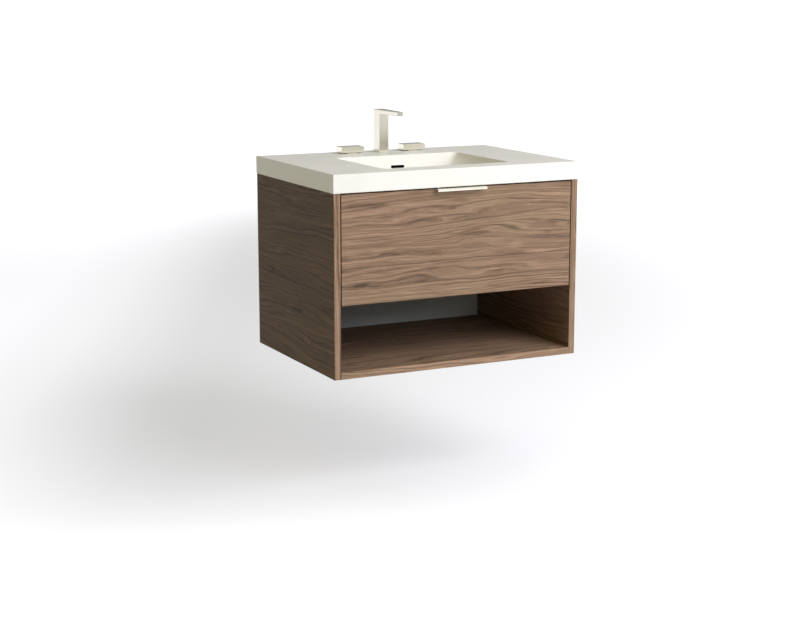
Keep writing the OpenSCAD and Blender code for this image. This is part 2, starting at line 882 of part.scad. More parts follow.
module drawer_side(side) {
    x0 = side > 0 ? box_in_x : -box_w / 2;
    difference() {
        span([x0, front_back_y, box_bot], [x0 + box_t, box_back_y, box_top]);
        bottom_groove();
    }
}

module drawer_side_left() {
    color("tan") drawer_side(-1);
}

module drawer_side_right() {
    color("tan") drawer_side(1);
}

// One half of the drawer's back, beside the notch
module drawer_back(side) {
    notch_out = notch_w / 2 + notch_t;
    x0 = side > 0 ? notch_out : -box_in_x;
    span([x0, box_back_y - box_t, floor_top_z], [x0 + box_in_x - notch_out, box_back_y, box_top]);
}

module drawer_back_left() {
    color("tan") drawer_back(-1);
}

module drawer_back_right() {
    color("tan") drawer_back(1);
}

// One side of the notch; its far end is flush with the drawer's back
module notch_wall(side) {
    x0 = side > 0 ? notch_w / 2 : -notch_w / 2 - notch_t;
    span([x0, notch_y, floor_top_z], [x0 + notch_t, box_back_y, box_top]);
}

module notch_wall_left() {
    color("tan") notch_wall(-1);
}

module notch_wall_right() {
    color("tan") notch_wall(1);
}

module notch_wall_front() {
    color("tan")
        span([-notch_w / 2 - notch_t, notch_y - notch_t, floor_top_z],
            [notch_w / 2 + notch_t, notch_y, box_top]);
}

// The bottom, cut out round the notch
module drawer_bottom() {
    e = groove_d - 2 * hole_clear;
    color("tan") difference() {
        span([-box_in_x - e, front_back_y + box_t - e, floor_z],
            [box_in_x + e, box_back_y, floor_top_z]);
        span([-notch_w / 2, notch_y, floor_z - cut], [notch_w / 2, box_back_y + cut, floor_top_z + cut]);
    }
}

module front_screws() {
    color("silver")
        for (x = both(front_screw_x))
            for (up = front_screw_up)
                translate([0, 2 * (front_back_y + box_t), 0]) mirror([0, 1, 0])
                    y_screw(x, front_back_y + box_t, box_bot + up, front_screw_r,
                        box_t + front_screw_bite);
}

// The pull: a leg behind the front, a web over its top edge and a turned-down lip
module edge_pull() {
    y0 = front_y - pull_out;
    y1 = front_back_y + pull_t;
    bend = pull_t * 0.8;
    color("antiquewhite") difference() {
        side_profile(pull_l, [
            [y0, pull_z - pull_lip], [y0 + pull_t, pull_z - pull_lip],
            [y0 + pull_t, front_top], [front_back_y, front_top],
            [front_back_y, pull_z - pull_leg], [y1, pull_z - pull_leg],
            [y1, pull_z], [y0 + bend, pull_z],
            [y0 + bend * 0.3, pull_z - bend * 0.3], [y0, pull_z - bend]
        ]);
        for (x = pull_screw_at)
            y_bar(x, front_back_y - cut, pull_screw_z, pull_screw_r + hole_clear, pull_t + 2 * cut);
    }
}

module pull_screws() {
    screw_y = front_back_y + pull_t;
    color("silver")
        for (x = pull_screw_at)
            translate([0, 2 * screw_y, 0]) mirror([0, 1, 0])
                y_screw(x, screw_y, pull_screw_z, pull_screw_r, pull_t + pull_screw_bite);
}

// ---- faucet ----

// The spout's arm tapers from the column's front to its tip, under a level top
function arm_part(y) = max(0, (spout_front_y - y) / arm_reach);
function arm_w(y) = spout_w + (arm_tip_w - spout_w) * arm_part(y);
function arm_h(y) = arm_t + (arm_tip_t - arm_t) * arm_part(y);

// The arm's outline at y, as eight corners, made smaller all round by inset
function arm_ring(y, inset = 0) =
    let (
        a = arm_w(y) / 2 - inset,
        c = fine_bevel - inset / 2,
        top = spout_top - inset,
        foot = spout_top - arm_h(y) + inset
    ) [
        [-a + c, y, foot], [a - c, y, foot], [a, y, foot + c], [a, y, top - c],
        [a - c, y, top], [-a + c, y, top], [-a, y, top - c], [-a, y, foot + c]
    ];

// A solid through eight-cornered outlines, listed from the back to the front
module arm_solid(rings) {
    n = 8;
    last = len(rings) - 1;
    polyhedron(
        [for (ring = rings) each ring],
        concat(
            [[for (i = [0:n - 1]) i]],
            [for (k = [0:last - 1]) for (i = [0:n - 1]) let (j = (i + 1) % n)
                [k * n + i, (k + 1) * n + i, (k + 1) * n + j, k * n + j]],
            [[for (i = [n - 1:-1:0]) last * n + i]]
        )
    );
}

// The spout: a column and its arm, bored through for the water
module spout() {
    seam_y = tip_y + cap_l;
    color("antiquewhite") difference() {
        union() {
            translate([0, faucet_y, deck_z + foot_t])
                eased_block(spout_w, spout_d, spout_h - foot_t, fine_bevel);
            arm_solid([
                arm_ring(faucet_y), arm_ring(spout_front_y),
                arm_ring(seam_y + fine_bevel), arm_ring(seam_y, fine_bevel)
            ]);
        }
        translate([0, faucet_y, deck_z]) cylinder(r = water_r, h = water_z - deck_z);
        y_bar(0, seam_y - cut, water_z, water_r, faucet_y - seam_y + cut);
        translate([0, faucet_y, deck_z + foot_t - cut])
            cylinder(r = spout_shank_r + hole_clear, h = shank_entry + cut);
    }
}

// The cap at the arm's end, which turns the water down into the outlet
module outlet_cap() {
    cap_back_y = tip_y + cap_l - cap_reveal;
    color("antiquewhite") difference() {
        arm_solid([
            arm_ring(cap_back_y, fine_bevel), arm_ring(cap_back_y - fine_bevel),
            arm_ring(tip_y + fine_bevel), arm_ring(tip_y, fine_bevel)
        ]);
        aerator_pocket(hole_clear);
        y_bar(0, tip_y + cap_l / 2, water_z, water_r, cap_l);
    }
}

// The pocket under the cap, grown by grow on each side
module aerator_pocket(grow) {
    x = arm_tip_w / 2 - outlet_rim + grow;
    span([-x, tip_y + outlet_rim - grow, outlet_z - cut],
        [x, tip_y + cap_l - outlet_rim + grow, water_z]);
}

// The outlet's insert, with a row of water slots
module aerator() {
    insert_t = 3;
    rib = 1.5;
    slots = 4;
    x = arm_tip_w / 2 - outlet_rim;
    pitch = (2 * x - rib) / slots;
    y0 = tip_y + outlet_rim;
    y1 = tip_y + cap_l - outlet_rim;
    color("dimgray") difference() {
        span([-x, y0, outlet_z], [x, y1, outlet_z + insert_t]);
        for (i = [0:slots - 1])
            span([-x + rib + i * pitch, y0 + rib, outlet_z - cut],
                [-x + (i + 1) * pitch, y1 - rib, outlet_z + insert_t + cut]);
    }
}

module spout_foot() {
    color("antiquewhite") difference() {
        translate([0, faucet_y, deck_z])
            eased_block(spout_w + 2 * foot_lip, spout_d + 2 * foot_lip, foot_t, fine_bevel);
        translate([0, faucet_y, deck_z - cut])
            cylinder(r = spout_shank_r + hole_clear, h = foot_t + 2 * cut);
    }
}

module spout_shank() {
    z0 = tube_z + tee_h / 2;
    color("darkgoldenrod") translate([0, faucet_y, 0])
        pipe(z0, deck_z + foot_t + shank_entry - z0, spout_shank_r, shank_bore_r);
}

module spout_nut() {
    color("goldenrod") translate([0, faucet_y, 0]) {
        pipe(under_z - washer_t, washer_t, washer_r, spout_shank_r + hole_clear);
        hex_nut(under_z - washer_t - nut_t, nut_t, spout_shank_r + nut_wall,
            spout_shank_r + hole_clear);
    }
}

// The tee that brings the two tubes together under the spout
module spout_tee() {
    color("darkgoldenrod") difference() {
        union() {
            translate([0, faucet_y, tube_z - tee_h / 2])
                eased_block(tee_l, tee_w, tee_h, 2 * fine_bevel);
            x_bar(0, faucet_y, tube_z, port_r, tee_l + 2 * port_l);
        }
        x_bar(0, faucet_y, tube_z, tube_r + hole_clear, tee_l + 2 * port_l + 2 * cut);
        translate([0, faucet_y, tube_z]) cylinder(r = shank_bore_r, h = tee_h);
    }
}

// A valve body: the shank through the deck, the body with its port, and the supply inlet
module valve(side) {
    shoulder = 4;
    bridge = 6;
    end_gap = 1;
    nose = 1;
    inlet_bore = inlet_r - inlet_wall;
    port_mid = valve_body_r + 2 * fine_bevel;
    translate([side * valve_x, faucet_y, 0]) difference() {
        union() {
            rotate_extrude() polygon([
                [0, valve_bot - inlet_l], [inlet_r - nose, valve_bot - inlet_l],
                [inlet_r, valve_bot - inlet_l + nose], [inlet_r, valve_bot],
                [valve_body_r, valve_bot + shoulder], [valve_body_r, shank_bot - shoulder],
                [shank_r, shank_bot], [shank_r, shank_top], [0, shank_top]
            ]);
            x_bar(-side * port_mid, 0, tube_z, port_r, 2 * port_l);
        }
        translate([0, 0, spindle_bot - end_gap])
            cylinder(r = spindle_r + hole_clear, h = shank_top - spindle_bot + end_gap + cut);
        x_bar(-side * port_mid, 0, tube_z, tube_r + hole_clear, 2 * port_mid);
        translate([0, 0, valve_bot - inlet_l - cut])
            cylinder(r = inlet_bore, h = spindle_bot - bridge - valve_bot + inlet_l + cut);
    }
}

module hot_valve() {
    color("darkgoldenrod") valve(-1);
}

module cold_valve() {
    color("darkgoldenrod") valve(1);
}

module valve_nuts() {
    color("goldenrod")
        for (x = both(valve_x))
            translate([x, faucet_y, 0]) {
                pipe(under_z - washer_t, washer_t, washer_r, shank_r + hole_clear);
                hex_nut(under_z - washer_t - nut_t, nut_t, shank_r + nut_wall,
                    shank_r + hole_clear);
            }
}

module valve_plates() {
    color("antiquewhite")
        for (x = both(valve_x))
            translate([x, faucet_y, 0]) difference() {
                translate([0, 0, deck_z]) eased_block(plate_w, plate_w, plate_t, fine_bevel);
                translate([0, 0, deck_z - cut])
                    cylinder(r = shank_r + hole_clear, h = plate_t + 2 * cut);
            }
}

module connector_tubes() {
    color("peru")
        for (side = [-1, 1])
            translate([side * tube_x0, faucet_y, tube_z]) rotate([0, side * 90, 0])
                pipe(0, tube_x1 - tube_x0, tube_r, tube_r - tube_wall);
}

// Compression nuts, one at each end of each tube
module compression_nuts() {
    color("goldenrod")
        for (side = [-1, 1]) {
            translate([side * (tee_l / 2 + port_l), faucet_y, tube_z])
                rotate([0, side * 90, 0]) hex_nut(0, comp_l, port_r, tube_r + hole_clear);
            translate([side * (valve_x - valve_body_r - 2 * fine_bevel - port_l), faucet_y, tube_z])
                rotate([0, -side * 90, 0]) hex_nut(0, comp_l, port_r, tube_r + hole_clear);
        }
}

module spindle(side) {
    translate([side * valve_x, faucet_y, spindle_bot])
        cylinder(r = spindle_r, h = spindle_top - spindle_bot);
}

module hot_spindle() {
    color("goldenrod") spindle(-1);
}

module cold_spindle() {
    color("goldenrod") spindle(1);
}

// A lever: a flat block, bored from below for the spindle and from behind for its screw
module lever(side) {
    translate([side * valve_x, faucet_y, 0]) difference() {
        translate([0, 0, lever_z]) eased_block(lever_l, lever_w, lever_h, fine_bevel);
        translate([0, 0, lever_z - cut])
            cylinder(r = spindle_r + hole_clear, h = spindle_top - lever_z + cut);
        y_bar(0, spindle_r, lever_z + lever_h / 2, lever_screw_r + hole_clear, lever_w / 2);
    }
}

module hot_lever() {
    color("antiquewhite") lever(-1);
}

module cold_lever() {
    color("antiquewhite") lever(1);
}

// The set screw that clamps a lever to its spindle, from behind
module lever_screw(side) {
    screw_l = 6;
    translate([side * valve_x, faucet_y, 0])
        y_bar(0, spindle_r + hole_clear, lever_z + lever_h / 2, lever_screw_r, screw_l);
}

module hot_lever_screw() {
    color("dimgray") lever_screw(-1);
}

module cold_lever_screw() {
    color("dimgray") lever_screw(1);
}

// ---- drain ----

// The drain body: flange, threaded tube with overflow ports, and the stopper's guide
module drain_body() {
    lip = 1;
    port_w = 10;
    port_h = duct_d - lip;
    port_z = sump_z - duct_wall - duct_d + lip / 2;
    color("antiquewhite") translate([0, drain_y, 0]) {
        difference() {
            rotate_extrude() polygon([
                [drain_bore_r, drain_bot], [drain_r, drain_bot], [drain_r, flange_z],
                [flange_r, flange_z], [flange_r, flange_z + flange_t - lip],
                [flange_r - 3 * lip, flange_z + flange_t],
                [stopper_r - 4 * lip, flange_z + flange_t - lip / 2],
                [drain_bore_r, flange_z - 2 * lip]
            ]);
            for (a = [0, 90])
                rotate([0, 0, a])
                    translate([-port_w / 2, -drain_r - cut, port_z])
                        cube([port_w, 2 * drain_r + 2 * cut, port_h]);
        }
        translate([0, 0, guide_z]) stopper_guide();
    }
}

// The hub and four arms inside the drain body that guide the stopper's stem
module stopper_guide() {
    arm_w = 3;
    arm_in = (stopper_stem_r + guide_r) / 2;
    arm_out = (drain_bore_r + drain_r) / 2;
    difference() {
        union() {
            cylinder(r = guide_r, h = guide_t);
            for (a = [45:90:315])
                rotate([0, 0, a])
                    translate([arm_in, -arm_w / 2, 0]) cube([arm_out - arm_in, arm_w, guide_t]);
        }
        translate([0, 0, -cut]) cylinder(r = stopper_stem_r + hole_clear, h = guide_t + 2 * cut);
    }
}

module flange_seal() {
    seal_in = 2;
    color("dimgray") translate([0, drain_y, 0])
        pipe(flange_z - seal_t, seal_t, flange_r - seal_in, drain_r + hole_clear);
}

module drain_gasket() {
    boss_edge = 2;
    color("dimgray") translate([0, drain_y, 0]) difference() {
        translate([0, 0, boss_z - gasket_t])
            cylinder(r1 = drain_washer_r, r2 = boss_r - boss_edge, h = gasket_t);
        translate([0, 0, boss_z - gasket_t - cut])
            cylinder(r = drain_r + hole_clear, h = gasket_t + 2 * cut);
    }
}

module drain_nut() {
    nut_z = boss_z - gasket_t - washer_t - drain_nut_t;
    color("goldenrod") translate([0, drain_y, 0]) {
        pipe(nut_z + drain_nut_t, washer_t, drain_washer_r, drain_r + hole_clear);
        hex_nut(nut_z, drain_nut_t, drain_r + nut_wall, drain_r + hole_clear);
    }
}

// The tailpiece: its upper end is turned down to enter the drain body
module tailpiece() {
    neck_r = tail_r - neck_step;
    bore_r = tail_r - tail_wall;
    color("antiquewhite") translate([0, drain_y, 0]) rotate_extrude() polygon([
        [bore_r, tail_bot], [tail_r, tail_bot], [tail_r, drain_bot], [neck_r, drain_bot],
        [neck_r, tail_top], [bore_r, tail_top]
    ]);
}

// The stopper: a domed cap, its washer and the stem that slides in the guide
module stopper() {
    steps = 8;
    stem_bot = guide_z - 2 * guide_t;
    seat_z = flange_z + flange_t + stopper_gap;
    dome_h = stopper_h - stopper_rim;
    dome_r = (stopper_r * stopper_r + dome_h * dome_h) / (2 * dome_h);
    dome = [
        for (i = [0:steps])
            let (r = stopper_r * (1 - i / steps))
                [r, seat_z + stopper_h - dome_r + sqrt(dome_r * dome_r - r * r)]
    ];
    color("antiquewhite") translate([0, drain_y, 0]) rotate_extrude() polygon(concat([
        [0, stem_bot], [stopper_stem_r, stem_bot], [stopper_stem_r, seat_z], [stopper_r, seat_z]
    ], dome));
}

left_side_panel();
right_side_panel();
bottom_panel();
divider_panel();
bay_back_panel();
hanging_rail();
lower_rail();
front_stretcher();
dowels();
front_bumpers();
countertop_basin();
slide_cabinet_left();
slide_cabinet_right();
slide_screws();
slide_middle_left();
slide_middle_right();
slide_drawer_left();
slide_drawer_right();
slide_catches();
drawer_front();
drawer_box_front();
drawer_side_left();
drawer_side_right();
drawer_back_left();
drawer_back_right();
notch_wall_left();
notch_wall_right();
notch_wall_front();
drawer_bottom();
front_screws();
edge_pull();
pull_screws();
spout();
outlet_cap();
aerator();
spout_foot();
spout_shank();
spout_nut();
spout_tee();
hot_valve();
cold_valve();
valve_nuts();
valve_plates();
connector_tubes();
compression_nuts();
hot_spindle();
cold_spindle();
hot_lever();
cold_lever();
hot_lever_screw();
cold_lever_screw();
drain_body();
flange_seal();
drain_gasket();
drain_nut();
tailpiece();
stopper();
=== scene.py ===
"""The looks of a floating vanity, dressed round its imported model. Metres, +Z up."""

import math

import bmesh
import bpy
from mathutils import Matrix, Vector

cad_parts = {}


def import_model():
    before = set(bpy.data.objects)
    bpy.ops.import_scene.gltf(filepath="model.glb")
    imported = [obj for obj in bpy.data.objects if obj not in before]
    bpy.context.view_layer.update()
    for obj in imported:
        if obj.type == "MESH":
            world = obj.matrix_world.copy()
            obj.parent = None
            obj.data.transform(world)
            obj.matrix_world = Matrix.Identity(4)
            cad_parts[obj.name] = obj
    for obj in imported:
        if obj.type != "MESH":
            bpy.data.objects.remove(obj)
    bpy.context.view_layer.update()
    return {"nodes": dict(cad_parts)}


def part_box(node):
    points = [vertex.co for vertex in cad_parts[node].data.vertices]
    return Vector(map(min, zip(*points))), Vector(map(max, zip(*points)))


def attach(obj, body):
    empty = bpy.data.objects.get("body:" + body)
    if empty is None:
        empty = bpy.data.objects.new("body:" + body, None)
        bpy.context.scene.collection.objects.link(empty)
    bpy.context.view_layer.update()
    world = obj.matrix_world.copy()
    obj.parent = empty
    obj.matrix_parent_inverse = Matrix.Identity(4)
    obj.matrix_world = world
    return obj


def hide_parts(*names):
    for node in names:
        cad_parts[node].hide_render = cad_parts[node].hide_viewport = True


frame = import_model()

MM = 0.001

# The camera stands where the photograph's stood. Its tilt and turn are in degrees
CAMERA_AT = (-2.1567, -4.4826, 0.6950)
CAMERA_TILT = 78.62
CAMERA_TURN = -26.60
CAMERA_LENS = 74.27
CAMERA_SENSOR = 36.0

# The floor lies this far below the cabinet's underside
FLOOR_DROP = 353 * MM
FLOOR_SIZE = 400.0
FLOOR_COLOUR = (0.59, 0.60, 0.625)
# The colour of its own white, which offsets the warm light from the left
FLOOR_GLOW = (0.965, 0.965, 1.04)
# How much of the floor's white is its own, near its middle and far from it: less near the middle,
# behind the object, which is painted shade
FLOOR_MIDDLE = (-0.3, 1.5)
FLOOR_GLOW_NEAR = 0.66
FLOOR_GLOW_FAR = 0.92
FLOOR_FADE = (1.5, 6.0)
# A painted soft shade on the floor behind the object: a place on its line and the line's turn, and
# where it starts and ends across the line and along it
SHADE_AT = (0.45, 2.39)
SHADE_TURN = math.radians(26.1)
SHADE_ACROSS = (-0.9, 2.6)
SHADE_FRONT = (-3.6, -2.8)
SHADE_BACK = (1.6, 4.5)
# How far the floor in front of the object dims, outside the picture
FLOOR_AHEAD = (-8.0, -1.6)
FLOOR_AHEAD_GLOW = 0.86
# The strength of the world's light on the object, at the horizon and overhead, and its
# colour from the left
AMBIENT_LOW = 0.13
AMBIENT_HIGH = 0.61
AMBIENT_LEFT = (0.78, 0.69, 0.12)
# How much dimmer mirrors show the world above the horizon, in front and behind
MIRROR_DIM_FRONT = 0.10
MIRROR_DIM_BACK = 0.66

# The one lamp: its place, what it is aimed at, its sides in metres and its watts
KEY_AT = (1.5, -3.6, 2.05)
KEY_TARGET = (0.0, -0.3, -0.05)
KEY_SIZE = (3.2, 2.8)
KEY_POWER = 171.0

# The basin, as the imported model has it
DECK_Z = 200.8 * MM
BASIN_W = 395 * MM
BASIN_L = 313 * MM
BASIN_Y = -312.5 * MM
RIM_R = 8 * MM
RIM_BEVEL = 1 * MM
# The corners' radius at the rim, as the eye sees it
CORNER_R = 18 * MM
# How far the fills stand proud of the deck before it is skimmed: at two heights, so that
# their tops don't coincide
RIM_FILL_TOP = DECK_Z + 2 * MM
CORNER_FILL_TOP = DECK_Z + 1.5 * MM
# How high the shapes that cut the deck reach
CUTTER_TOP = DECK_Z + 5 * MM
SLOT_W = 44 * MM
SLOT_DROP = 20 * MM
SLOT_DEPTH = 16 * MM
SUMP_Z = 90.8 * MM
SUMP_R = 34 * MM
SUMP_FALL = 5 * MM
COVE_R = 24 * MM
COVE_Z = SUMP_Z + SUMP_FALL + COVE_R
# Where a cove's arc starts and ends, in degrees above its centre
COVE_FROM = -88
COVE_TO = 30
# Where a corner's fill follows the cove, in degrees below its centre
COVE_FILL_AT = (0, 15, 30, 45)
SIDE_SLOPE = math.radians(25)
END_SLOPE = math.radians(8)
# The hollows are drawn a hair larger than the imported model's, to cut past its facets
PAST_FACETS = 0.03 * MM
ARC_STEPS = 24

# The overflow's duct: unpolished, with near-black painted shade in it, and how far inside the wall
# the painted shade starts
DUCT_SHADE_COLOUR = (0.012, 0.012, 0.012)
DUCT_STARTS = 0.7 * MM
DUCT_BESIDE = 0.5 * MM

# How fine brushed metal's lines are, across them and along them
BRUSH_ACROSS = 2400.0
BRUSH_ALONG = 24.0


# ---- node trees ----

class Graph:
    """Adds nodes to a tree. Each call adds one and returns one of its outputs."""

    def __init__(self, tree):
        self.tree = tree

    def feed(self, socket, value):
        """Links a socket to an output, or sets it to a plain value."""
        if isinstance(value, bpy.types.NodeSocket):
            self.tree.links.new(value, socket)
        else:
            socket.default_value = value

    def add(self, kind, inputs=None, out=0, **settings):
        node = self.tree.nodes.new(kind)
        for key, value in settings.items():
            setattr(node, key, value)
        for key, value in (inputs or {}).items():
            self.feed(node.inputs[key], value)
        return node.outputs[out]

    def end(self, kind, value):
        """Adds an output node, fed with the tree's result."""
        node = self.tree.nodes.new(kind)
        self.feed(node.inputs["Surface"], value)

    def math(self, operation, a, b=0.0):
        return self.add("ShaderNodeMath", {0: a, 1: b}, operation=operation)

    def total(self, *terms):
        """The sum of (output, weight) pairs."""
        result = 0.0
        for value, weight in terms:
            part = self.math("MULTIPLY", value, weight)
            result = self.math("ADD", part, result)
        return result

    def axes(self, vector):
        """The X, Y and Z of a vector, by name."""
        node = self.tree.nodes.new("ShaderNodeSeparateXYZ")
        self.feed(node.inputs[0], vector)
        return {name: node.outputs[name] for name in "XYZ"}

    def vector(self, x, y, z):
        return self.add("ShaderNodeCombineXYZ", {"X": x, "Y": y, "Z": z})

    def scaled(self, vector, scale, shift=(0.0, 0.0, 0.0)):
        return self.add("ShaderNodeMapping", {"Vector": vector, "Location": shift, "Scale": scale})

    def noise(self, vector, scale=1.0, detail=2.0, roughness=0.5):
        return self.add("ShaderNodeTexNoise", {
            "Vector": vector, "Scale": scale, "Detail": detail, "Roughness": roughness})

    def spread(self, value, low, high, to_low=0.0, to_high=1.0, smooth=False):
        """A value between low and high, mapped to to_low and to_high and held there."""
        kind = "SMOOTHSTEP" if smooth else "LINEAR"
        return self.add("ShaderNodeMapRange", {
            "Value": value, "From Min": low, "From Max": high,
            "To Min": to_low, "To Max": to_high}, interpolation_type=kind)

    def ramp(self, value, *stops):
        """A colour ramp through (place, colour) stops."""
        node = self.tree.nodes.new("ShaderNodeValToRGB")
        self.feed(node.inputs[0], value)
        marks = node.color_ramp.elements
        while len(marks) < len(stops):
            marks.new(0.5)
        for mark, (place, colour) in zip(marks, stops):
            mark.position = place
            mark.color = colour if len(colour) == 4 else (*colour, 1.0)
        return node.outputs[0]

    def curve(self, value, *stops):
        """A number that follows (place, height) stops."""
        grey = self.ramp(value, *((place, (height, height, height)) for place, height in stops))
        return self.math("ADD", grey)

    def mixed(self, factor, a, b, mode="MIX"):
        """Colour b over colour a."""
        node = self.tree.nodes.new("ShaderNodeMix")
        node.data_type = "RGBA"
        node.blend_type = mode
        for index, value in ((0, factor), (6, a), (7, b)):
            self.feed(node.inputs[index], value)
        return node.outputs[2]

    def chosen(self, factor, a, b):
        """Vector b where the factor is 1, and a where it is 0."""
        node = self.tree.nodes.new("ShaderNodeMix")
        node.data_type = "VECTOR"
        for index, value in ((0, factor), (4, a), (5, b)):
            self.feed(node.inputs[index], value)
        return node.outputs[1]

    def bump(self, height, strength, distance):
        return self.add("ShaderNodeBump", {
            "Height": height, "Strength": strength, "Distance": distance})


def rgb(red, green, blue):
    """A colour for a socket, from linear values."""
    return (red, green, blue, 1.0)


def new_material(name, **sockets):
    """A material with a fresh Principled shader: its graph, and its shader node."""
    material = bpy.data.materials.new(name)
    material.use_nodes = True
    tree = material.node_tree
    tree.nodes.clear()
    graph = Graph(tree)
    shader = tree.nodes.new("ShaderNodeBsdfPrincipled")
    graph.end("ShaderNodeOutputMaterial", shader.outputs[0])
    for key, value in sockets.items():
        shader.inputs[key.replace("_", " ")].default_value = value
    return material, graph, shader


def object_place(graph):
    return graph.add("ShaderNodeTexCoord", out="Object")


def face_normal(graph):
    """The face's normal in the object's own axes, each axis without its sign."""
    normal = graph.add("ShaderNodeTexCoord", out="Normal")
    return {name: graph.math("ABSOLUTE", value) for name, value in graph.axes(normal).items()}


# ---- wood ----

def grain_place(graph, along, across):
    """Coordinates with the grain along X and the width of the board along Y."""
    axes = graph.axes(object_place(graph))
    depth = ({"X", "Y", "Z"} - {along, across}).pop()
    return graph.vector(axes[along], axes[across], axes[depth])


def walnut(name, along, across, seed, face_painted_light=1.0, edge=None, edge_painted_light=1.0):
    """Flat-sawn walnut veneer: wavy growth lines with a few loops, streaks, fibres and pores.
    Edge gives the axes along and across the band on the faces that look along Y. The face and edge
    tones make the other faces and those faces darker or lighter: painted light and shade."""
    material, graph, shader = new_material(name, Specular_IOR_Level=0.12)
    place = grain_place(graph, along, across)
    on_edge = 0.0
    if edge:
        on_edge = graph.math("GREATER_THAN", face_normal(graph)["Y"], 0.5)
        place = graph.chosen(on_edge, place, grain_place(graph, *edge))
    axes = graph.axes(place)
    shift = (seed, seed * 1.7, seed * 0.6)

    # The growth rings: height lines of a slanting field that stretched noises fold
    broad = graph.noise(graph.scaled(place, (0.9, 7.0, 7.0), shift), detail=1.0)
    local = graph.noise(graph.scaled(place, (2.3, 19.0, 19.0), shift), detail=2.0)
    tremor = graph.noise(graph.scaled(place, (12.0, 50.0, 50.0), shift), detail=2.0)
    rings = graph.total((axes["Y"], 80.0), (broad, 10.5), (local, 5.0), (tremor, 0.7))
    along_ring = graph.math("MULTIPLY", axes["X"], 1.3)
    band = graph.noise(graph.vector(graph.math("MULTIPLY", rings, 1.35), along_ring, seed),
        detail=4.0, roughness=0.7)
    line = graph.curve(graph.math("FRACT", rings),
        (0.0, 0.15), (0.12, 0.0), (0.45, 0.05), (0.74, 0.45), (0.88, 1.0), (1.0, 0.15))
    along_line = graph.vector(graph.math("MULTIPLY", rings, 0.9), along_ring, seed * 3)
    strength = graph.spread(graph.noise(along_line, detail=2.0), 0.36, 0.60, 0.25, 1.0, smooth=True)
    line = graph.math("MULTIPLY", line, strength)

    # Smoky patches, streaks along the grain, light flecks, single fibres and open pores
    smoke = graph.spread(
        graph.noise(graph.scaled(place, (7.0, 52.0, 52.0), (seed * 2, seed, 0.0)), detail=3.0),
        0.54, 0.74, 0.0, 1.0, smooth=True)
    patch = graph.noise(graph.scaled(place, (1.2, 6.0, 6.0), (seed, seed * 2, 0.0)), detail=2.0)
    streak = graph.noise(graph.vector(graph.math("MULTIPLY", rings, 3.6), along_ring, seed * 5),
        detail=3.0, roughness=0.6)
    fleck = graph.spread(
        graph.noise(graph.scaled(place, (14.0, 260.0, 260.0), (0.0, seed, seed)), detail=2.0),
        0.54, 0.72, 0.0, 1.0)
    fibre = graph.noise(graph.scaled(place, (18.0, 950.0, 950.0), shift), detail=4.0, roughness=0.7)
    pore = graph.spread(
        graph.noise(graph.scaled(place, (110.0, 2900.0, 2900.0), shift), detail=1.0),
        0.64, 0.72, 0.0, 1.0)

    dark = graph.total((band, 1.20), (line, 0.42), (smoke, 0.26), (patch, 0.12), (streak, 0.90),
        (fleck, -0.24), (fibre, 0.50), (pore, 0.10))
    colour = graph.ramp(graph.spread(dark, 1.02, 1.98),
        (0.0, (0.455, 0.306, 0.214)), (0.30, (0.340, 0.226, 0.157)),
        (0.62, (0.225, 0.148, 0.104)), (1.0, (0.098, 0.067, 0.050)))
    hue = graph.noise(graph.scaled(place, (2.4, 13.0, 13.0), (0.0, seed, seed)), detail=2.0)
    tint = graph.ramp(hue, (0.36, (1.015, 0.985, 0.99)), (0.64, (0.995, 1.005, 0.975)))
    colour = graph.mixed(1.0, colour, tint, "MULTIPLY")
    # Painted light and shade: one tone for the faces and another for the faces that look along Y
    tone = graph.spread(on_edge, 0.0, 1.0, face_painted_light, edge_painted_light)
    colour = graph.mixed(1.0, colour, graph.vector(tone, tone, tone), "MULTIPLY")
    graph.feed(shader.inputs["Base Color"], colour)
    graph.feed(shader.inputs["Roughness"], graph.spread(fibre, 0.3, 0.7, 0.55, 0.68))
    height = graph.total((line, -0.5), (fibre, 0.6), (pore, -1.0))
    graph.feed(shader.inputs["Normal"], graph.bump(height, 0.22, 0.12 * MM))
    return material


def birch(name, along, across, seed, plies=None):
    """Pale birch. Plies gives the axis across the board's thickness, whose edges show layers."""
    material, graph, shader = new_material(name, Specular_IOR_Level=0.3)
    place = grain_place(graph, along, across)
    shift = (seed, seed, seed)
    fibre = graph.noise(graph.scaled(place, (9.0, 620.0, 620.0), shift), detail=4.0, roughness=0.65)
    cloud = graph.noise(graph.scaled(place, (2.0, 16.0, 16.0), shift), detail=3.0)
    figure = graph.noise(graph.scaled(place, (1.2, 60.0, 60.0), shift), detail=2.0)
    shade = graph.total((fibre, 0.40), (cloud, 0.35), (figure, 0.25))
    colour = graph.ramp(graph.spread(shade, 0.36, 0.66),
        (0.0, (0.46, 0.33, 0.205)), (0.5, (0.60, 0.455, 0.30)), (1.0, (0.68, 0.53, 0.365)))
    if plies:
        ply_rate = 1.0 / (1.5 * MM)
        layers = graph.math("MULTIPLY", graph.axes(object_place(graph))[plies], ply_rate)
        layer = graph.math("PINGPONG", layers, 1.0)
        dark = graph.spread(layer, 0.40, 0.60, 0.0, 1.0)
        on_top = graph.math("GREATER_THAN", face_normal(graph)["Z"], 0.5)
        stripe = graph.math("MULTIPLY", graph.math("MULTIPLY", dark, on_top), 0.55)
        colour = graph.mixed(stripe, colour, rgb(0.30, 0.19, 0.11))
    graph.feed(shader.inputs["Base Color"], colour)
    graph.feed(shader.inputs["Roughness"], graph.spread(fibre, 0.3, 0.7, 0.42, 0.55))
    graph.feed(shader.inputs["Normal"], graph.bump(fibre, 0.15, 0.1 * MM))
    return material


# ---- stone, paint, metal, plastic and rubber ----

def within(graph, value, low, high):
    """1 where a value is between low and high."""
    return graph.math("MULTIPLY", graph.math("GREATER_THAN", value, low),
        graph.math("LESS_THAN", value, high))


